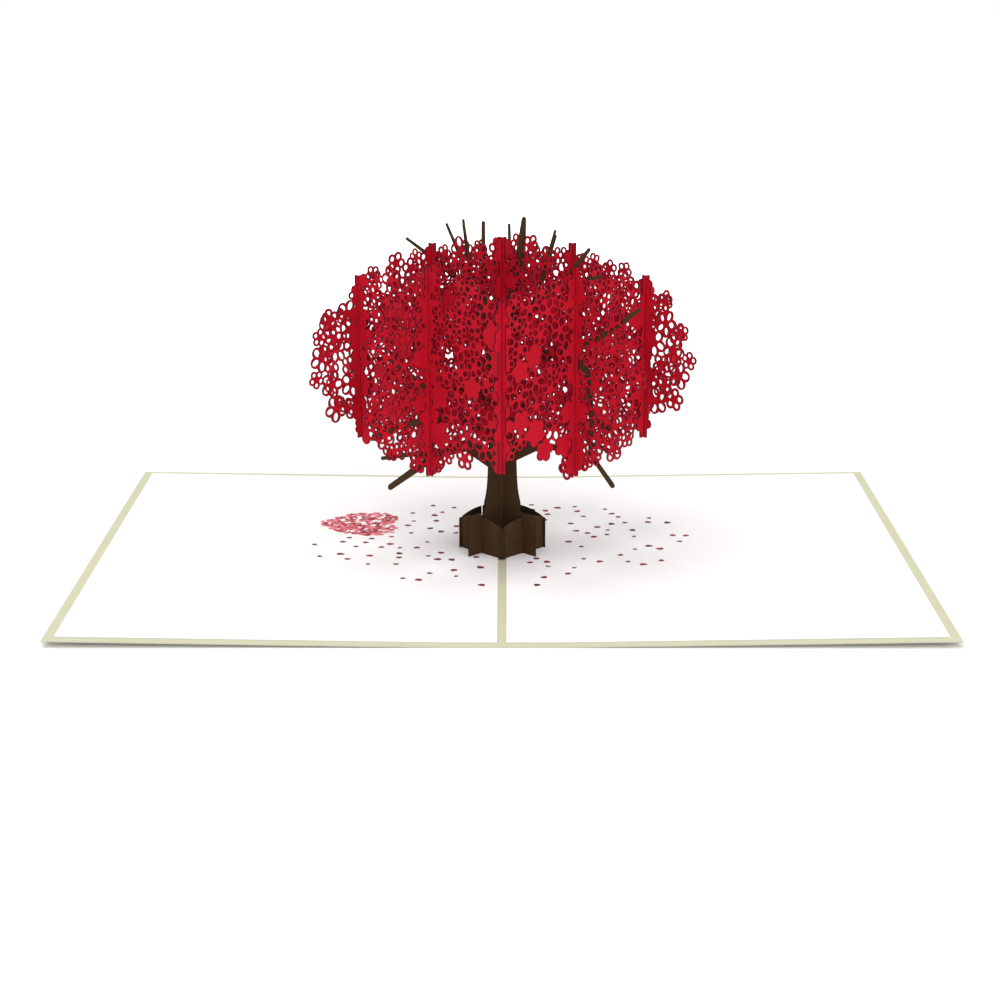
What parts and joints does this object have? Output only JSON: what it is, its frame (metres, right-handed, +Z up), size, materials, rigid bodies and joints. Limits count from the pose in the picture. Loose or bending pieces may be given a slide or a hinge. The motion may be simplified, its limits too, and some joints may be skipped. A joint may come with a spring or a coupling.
{
  "type": "pop up card",
  "caption": "Open two-leaf greeting card with a slotted paper blossom tree standing over its fold on a small slotted base box.",
  "frame": {"origin": "on the table under the middle of the open card", "axes": "+X across the two leaves, +Y along the fold away from the reader, +Z up"},
  "size_m": [0.254, 0.178, 0.1061],
  "materials": {
    "cover_card": "smooth pale cream-green card",
    "panel_card": "smooth white card",
    "brown_card": "matt dark brown card with laser-cut edges",
    "red_card": "matt crimson card with laser-darkened edges"
  },
  "bodies": {
    "root": {"cover": "cover_card", "left_panel": "panel_card", "right_panel": "panel_card", "base_wall_front_left": "brown_card", "base_wall_front_right": "brown_card", "base_wall_back_left": "brown_card", "base_wall_back_right": "brown_card", "trunk_a": "brown_card", "trunk_b": "brown_card", "blossoms_a_front": "red_card", "blossoms_a_middle": "red_card", "blossoms_a_back": "red_card", "blossoms_b_front": "red_card", "blossoms_b_middle": "red_card", "blossoms_b_back": "red_card"}
  },
  "joints": []
}
